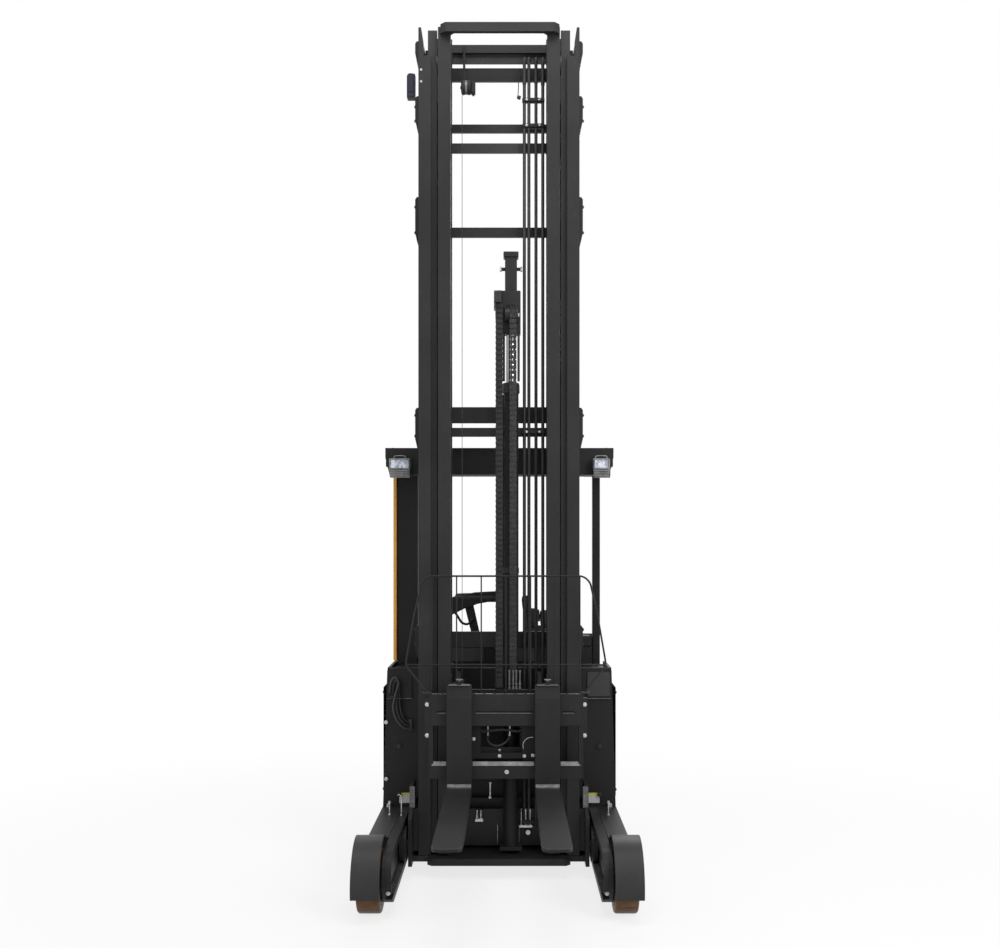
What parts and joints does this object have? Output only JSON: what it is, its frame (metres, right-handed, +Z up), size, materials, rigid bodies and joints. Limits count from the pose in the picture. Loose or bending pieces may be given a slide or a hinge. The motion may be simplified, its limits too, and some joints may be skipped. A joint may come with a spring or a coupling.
{
  "type": "reach truck",
  "caption": "Reach truck with a nested three-stage mast, forks, wheel arms, sideways seat and overhead guard; the mast, carriage and wheels move.",
  "frame": {"origin": "on the floor, under the middle of the machine's outline", "axes": "+Z up, -Y the way the forks point, +X to the right when the forks are looked at from in front"},
  "size_m": [1.27, 2.49, 4.222],
  "materials": {
    "mast_paint": "satin",
    "body_paint": "satin",
    "dark_steel": "satin",
    "chrome": "polished",
    "polyurethane": "satin",
    "orange_paint": "satin",
    "black_plastic": "matt",
    "seat_cloth": "matt",
    "rubber_hose": "matt",
    "lamp_silver": "satin"
  },
  "bodies": {
    "chassis": {"chassis_frame": "body_paint", "front_bulkhead": "body_paint", "body_side_left": "body_paint", "body_side_right": "body_paint", "battery": "dark_steel", "battery_cover": "body_paint", "rear_hood": "body_paint", "overhead_guard": "body_paint", "pillar_front_left": "body_paint", "pillar_front_right": "body_paint", "pillar_rear_left": "body_paint", "pillar_rear_right": "body_paint", "pillar_trim": "orange_paint", "wheel_arm_left": "body_paint", "wheel_arm_right": "body_paint", "wheel_cover_left": "body_paint", "wheel_cover_right": "body_paint", "load_axle_left": "dark_steel", "load_axle_right": "dark_steel", "drive_motor": "dark_steel", "seat_box": "black_plastic", "seat_cushion": "seat_cloth", "seat_back": "seat_cloth", "dash": "black_plastic", "steering_console": "black_plastic", "pedals": "black_plastic", "work_light_left": "lamp_silver", "work_light_right": "lamp_silver"},
    "load_wheel_left": {"load_wheel_left_hub": "dark_steel", "load_wheel_left_tyre": "polyurethane"},
    "load_wheel_right": {"load_wheel_right_hub": "dark_steel", "load_wheel_right_tyre": "polyurethane"},
    "drive_steer": {"drive_fork": "dark_steel"},
    "drive_wheel": {"drive_wheel_hub": "dark_steel", "drive_wheel_tyre": "polyurethane"},
    "steering_wheel": {"steering_wheel": "black_plastic"},
    "reach": {"reach_carriage": "mast_paint", "outer_mast": "mast_paint", "lift_barrel_left": "dark_steel", "lift_barrel_right": "dark_steel", "sensor_box": "black_plastic"},
    "middle_mast": {"middle_mast": "mast_paint", "lift_rod_left": "chrome", "lift_rod_right": "chrome"},
    "inner_mast": {"inner_mast": "mast_paint", "free_lift_barrel": "dark_steel", "mast_hoses": "rubber_hose", "wire_pulley": "black_plastic", "wire_strand": "dark_steel"},
    "crosshead": {"crosshead": "mast_paint", "free_lift_rod": "chrome", "lift_chain": "dark_steel", "hose_track": "black_plastic"},
    "lift_carriage": {"lift_carriage": "mast_paint"},
    "fork_tilt": {"tilt_frame": "mast_paint"},
    "side_shift": {"fork_carriage": "mast_paint", "load_guard": "dark_steel", "fork_left": "mast_paint", "fork_right": "mast_paint"}
  },
  "joints": [
    {"name": "load_wheel_left_turn", "type": "hinge", "parent": "chassis", "child": "load_wheel_left", "pos_m": [-0.567, -0.495, 0.1425], "axis": [1, 0, 0], "continuous": true},
    {"name": "load_wheel_right_turn", "type": "hinge", "parent": "chassis", "child": "load_wheel_right", "pos_m": [0.567, -0.495, 0.1425], "axis": [1, 0, 0], "continuous": true},
    {"name": "drive_steer_turn", "type": "hinge", "parent": "chassis", "child": "drive_steer", "pos_m": [-0.12, 0.985, 0.38], "axis": [0, 0, 1], "range_deg": [-90, 90]},
    {"name": "drive_wheel_turn", "type": "hinge", "parent": "drive_steer", "child": "drive_wheel", "pos_m": [-0.12, 0.985, 0.1715], "axis": [1, 0, 0], "continuous": true},
    {"name": "steering_wheel_turn", "type": "hinge", "parent": "chassis", "child": "steering_wheel", "pos_m": [0.2, 1.06, 1.06], "axis": [0, 0, 1], "continuous": true},
    {"name": "reach_slide", "type": "slide", "parent": "chassis", "child": "reach", "axis": [0, -1, 0], "range_m": [0, 0.55]},
    {"name": "middle_lift", "type": "slide", "parent": "reach", "child": "middle_mast", "axis": [0, 0, 1], "range_m": [0, 3.2]},
    {"name": "inner_lift", "type": "slide", "parent": "middle_mast", "child": "inner_mast", "axis": [0, 0, 1], "range_m": [0, 3.2]},
    {"name": "carriage_lift", "type": "slide", "parent": "inner_mast", "child": "lift_carriage", "axis": [0, 0, 1], "range_m": [-0.405, 2], "deforming": ["lift_chain", "hose_track", "wire_strand"]},
    {"name": "crosshead_lift", "type": "slide", "parent": "inner_mast", "child": "crosshead", "axis": [0, 0, 1], "range_m": [-0.2025, 1]},
    {"name": "fork_tilt_turn", "type": "hinge", "parent": "lift_carriage", "child": "fork_tilt", "pos_m": [0, 0.012, 0.54], "axis": [1, 0, 0], "range_deg": [-3, 2]},
    {"name": "side_shift_slide", "type": "slide", "parent": "fork_tilt", "child": "side_shift", "axis": [1, 0, 0], "range_m": [-0.105, 0.035]}
  ],
  "couplings": [
    {"joint": "inner_lift", "follows": "middle_lift", "ratio": 1},
    {"joint": "crosshead_lift", "follows": "carriage_lift", "ratio": 0.5}
  ]
}
